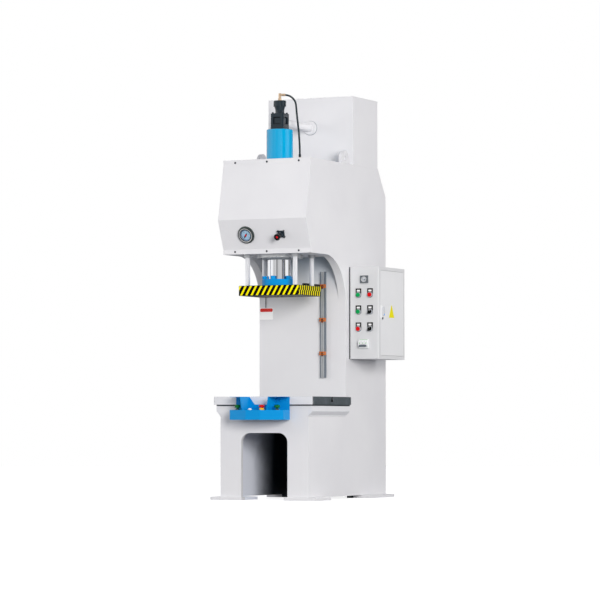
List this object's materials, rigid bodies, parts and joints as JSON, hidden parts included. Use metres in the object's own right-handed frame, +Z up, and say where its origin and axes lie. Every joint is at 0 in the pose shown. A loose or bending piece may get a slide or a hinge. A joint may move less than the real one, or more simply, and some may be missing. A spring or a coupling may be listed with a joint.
{
  "type": "hydraulic press",
  "caption": "C-frame hydraulic press with a guided ram, T-slot table, two-hand console, oil tank on top and electrical cabinet on its right side.",
  "frame": {"origin": "on the floor, at the centre of the four floor anchor holes under the frame", "axes": "+X towards the electrical cabinet on the operator's right, +Y away from the operator towards the column's back, +Z up along the ram"},
  "size_m": [1.0353, 1.557, 3.021],
  "materials": {
    "white_paint": "semi-gloss grey-white enamel",
    "blue_paint": "semi-gloss enamel",
    "hazard_paint": "yellow and black stripes",
    "machined_steel": "milled and oiled",
    "dark_steel": "blackened",
    "chrome": "hard chrome, polished",
    "bearing_bronze": "turned bronze",
    "aluminium": "drawn and anodised",
    "black_casting": "black enamel",
    "brass": "turned",
    "black_hose": "matt rubber",
    "motor_paint": "blue-grey enamel",
    "switch_clamp": "orange",
    "dial_chrome": "polished bezel",
    "needle_black": "black",
    "black_plastic": "moulded",
    "grey_plastic": "moulded",
    "yellow_plastic": "moulded",
    "green_plastic": "moulded",
    "red_plastic": "moulded",
    "white_plastic": "moulded",
    "zinc_plate": "zinc plated sheet"
  },
  "bodies": {
    "frame": {"left_side_plate": "white_paint", "right_side_plate": "white_paint", "column_front_plate": "white_paint", "pedestal_front_plate": "white_paint", "cylinder_seat_plate": "white_paint", "head_top_plate": "white_paint", "rear_plate": "white_paint", "rear_cover": "white_paint", "bed_plate": "dark_steel", "foot_plates": "white_paint", "lifting_lugs": "white_paint", "table": "machined_steel", "motor_shelf": "white_paint", "motor": "motor_paint", "pump": "black_casting", "oil_tank": "white_paint", "tank_lid": "white_paint", "fill_pipe": "white_paint", "cylinder_barrel": "blue_paint", "clamp_nut": "machined_steel", "gland_bush": "dark_steel", "guide_bushes": "bearing_bronze", "switch_rail": "aluminium", "limit_switches": "switch_clamp", "prefill_valve": "black_casting", "hose_fittings": "brass", "pilot_hose": "black_hose", "head_cover": "white_paint", "gauge_case": "dial_chrome", "control_valve": "black_casting", "console_box": "blue_paint", "hand_hoods": "blue_paint", "button_collars": "yellow_plastic", "cabinet_body": "white_paint", "hour_meter": "grey_plastic", "legend_plates": "grey_plastic", "breaker": "white_plastic", "control_gear": "zinc_plate"},
    "ram_and_slide": {"ram": "chrome", "ram_flange": "blue_paint", "ram_bolts": "blue_paint", "slide": "hazard_paint", "guide_rods": "chrome", "trip_arm": "dark_steel"},
    "gauge_needle": {"gauge_needle": "needle_black"},
    "valve_knob": {"valve_knob": "black_plastic"},
    "left_palm_button": {"left_palm_button": "green_plastic"},
    "right_palm_button": {"right_palm_button": "green_plastic"},
    "stop_button": {"stop_button": "red_plastic"},
    "white_button": {"white_button": "white_plastic"},
    "cabinet_door": {"cabinet_door": "white_paint"},
    "door_latch": {"door_latch": "black_plastic"},
    "upper_green_button": {"upper_green_button": "green_plastic"},
    "lower_green_button": {"lower_green_button": "green_plastic"},
    "upper_red_button": {"upper_red_button": "red_plastic"},
    "lower_red_button": {"lower_red_button": "red_plastic"},
    "upper_selector": {"upper_selector": "black_plastic"},
    "lower_selector": {"lower_selector": "black_plastic"},
    "breaker_toggle": {"breaker_toggle": "grey_plastic"}
  },
  "joints": [
    {"name": "ram_slide", "type": "slide", "parent": "frame", "child": "ram_and_slide", "axis": [0, 0, -1], "range_m": [0, 0.5]},
    {"name": "gauge_needle_turn", "type": "hinge", "parent": "frame", "child": "gauge_needle", "pos_m": [-0.146, -0.6778, 1.926], "axis": [0, 0.9282, 0.3721], "range_deg": [0, 270]},
    {"name": "valve_knob_turn", "type": "hinge", "parent": "frame", "child": "valve_knob", "pos_m": [0.139, -0.6778, 1.926], "axis": [0, 0.9282, 0.3721], "range_deg": [-180, 180]},
    {"name": "left_palm_press", "type": "slide", "parent": "frame", "child": "left_palm_button", "axis": [0, 0, -1], "range_m": [0, 0.006], "stiffness_N_per_m": 1500, "springref_m": -0.001},
    {"name": "right_palm_press", "type": "slide", "parent": "frame", "child": "right_palm_button", "axis": [0, 0, -1], "range_m": [0, 0.006], "stiffness_N_per_m": 1500, "springref_m": -0.001},
    {"name": "stop_press", "type": "slide", "parent": "frame", "child": "stop_button", "axis": [0, 0, -1], "range_m": [0, 0.004]},
    {"name": "white_press", "type": "slide", "parent": "frame", "child": "white_button", "axis": [0, 0, -1], "range_m": [0, 0.003], "stiffness_N_per_m": 1500, "springref_m": -0.001},
    {"name": "upper_green_press", "type": "slide", "parent": "frame", "child": "upper_green_button", "axis": [0, 1, 0], "range_m": [0, 0.004], "stiffness_N_per_m": 1500, "springref_m": -0.001},
    {"name": "lower_green_press", "type": "slide", "parent": "frame", "child": "lower_green_button", "axis": [0, 1, 0], "range_m": [0, 0.004], "stiffness_N_per_m": 1500, "springref_m": -0.001},
    {"name": "upper_red_press", "type": "slide", "parent": "frame", "child": "upper_red_button", "axis": [0, 1, 0], "range_m": [0, 0.004], "stiffness_N_per_m": 1500, "springref_m": -0.001},
    {"name": "lower_red_press", "type": "slide", "parent": "frame", "child": "lower_red_button", "axis": [0, 1, 0], "range_m": [0, 0.004], "stiffness_N_per_m": 1500, "springref_m": -0.001},
    {"name": "upper_selector_turn", "type": "hinge", "parent": "frame", "child": "upper_selector", "pos_m": [0.526, 0.0185, 1.38], "axis": [0, -1, 0], "range_deg": [0, 60]},
    {"name": "lower_selector_turn", "type": "hinge", "parent": "frame", "child": "lower_selector", "pos_m": [0.526, 0.0185, 1.254], "axis": [0, -1, 0], "range_deg": [0, 60]},
    {"name": "breaker_flip", "type": "hinge", "parent": "frame", "child": "breaker_toggle", "pos_m": [0.479, -0.0055, 1.129], "axis": [-1, 0, 0], "range_deg": [0, 40]},
    {"name": "cabinet_door_swing", "type": "hinge", "parent": "frame", "child": "cabinet_door", "pos_m": [0.588, 0.4695, 1.372], "axis": [0, 0, 1], "range_deg": [0, 110]},
    {"name": "door_latch_turn", "type": "hinge", "parent": "cabinet_door", "child": "door_latch", "pos_m": [0.599, 0.0845, 1.406], "axis": [1, 0, 0], "range_deg": [0, 90]}
  ]
}
